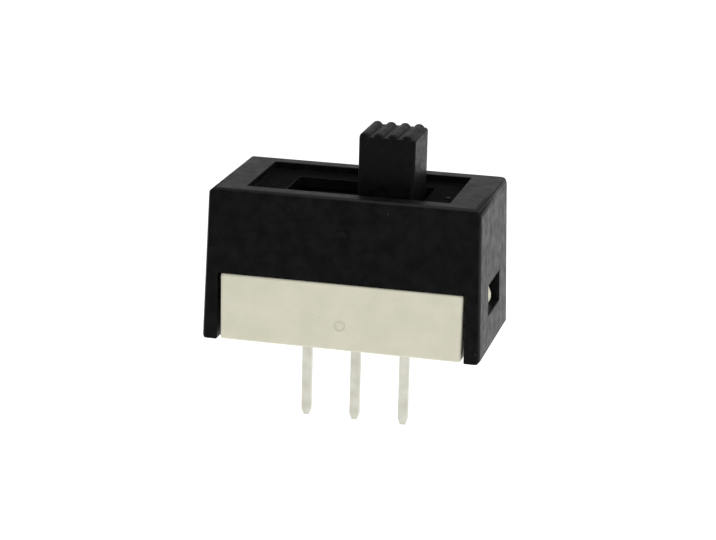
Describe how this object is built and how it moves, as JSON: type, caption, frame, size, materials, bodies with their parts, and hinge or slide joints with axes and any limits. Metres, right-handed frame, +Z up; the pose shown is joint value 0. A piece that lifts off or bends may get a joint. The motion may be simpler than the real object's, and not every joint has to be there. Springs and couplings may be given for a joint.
{
  "type": "slide switch",
  "caption": "Small slide switch: a black cover with a ribbed sliding handle in a recessed top, a cream base latched between its feet, and straight flat pins for a circuit board.",
  "frame": {"origin": "centre of the seating plane on the circuit board, level with the base's underside and the housing's feet, at the middle terminal", "axes": "+X along the handle's travel, towards the end where the handle rests; +Y towards the back; +Z up, from the circuit board to the handle"},
  "size_m": [0.014, 0.0074, 0.0154],
  "materials": {
    "cover_plastic": "satin moulded glass-filled plastic, black",
    "handle_plastic": "satin moulded plastic, black",
    "base_plastic": "satin moulded plastic, cream",
    "terminal_metal": "tin plated brass strip",
    "seal_resin": "cast resin",
    "spring_wire": "drawn spring wire",
    "contact_metal": "silver plated strip"
  },
  "bodies": {
    "switch_body": {"housing": "cover_plastic", "base": "base_plastic", "terminal_left": "terminal_metal", "terminal_common": "terminal_metal", "terminal_right": "terminal_metal", "terminal_seal": "seal_resin"},
    "slider_group": {"slider": "handle_plastic", "contact_spring": "spring_wire", "moving_contact": "contact_metal"}
  },
  "joints": [
    {"name": "handle_slide", "type": "slide", "parent": "switch_body", "child": "slider_group", "axis": [1, 0, 0], "range_m": [-0.0033, 0]}
  ]
}
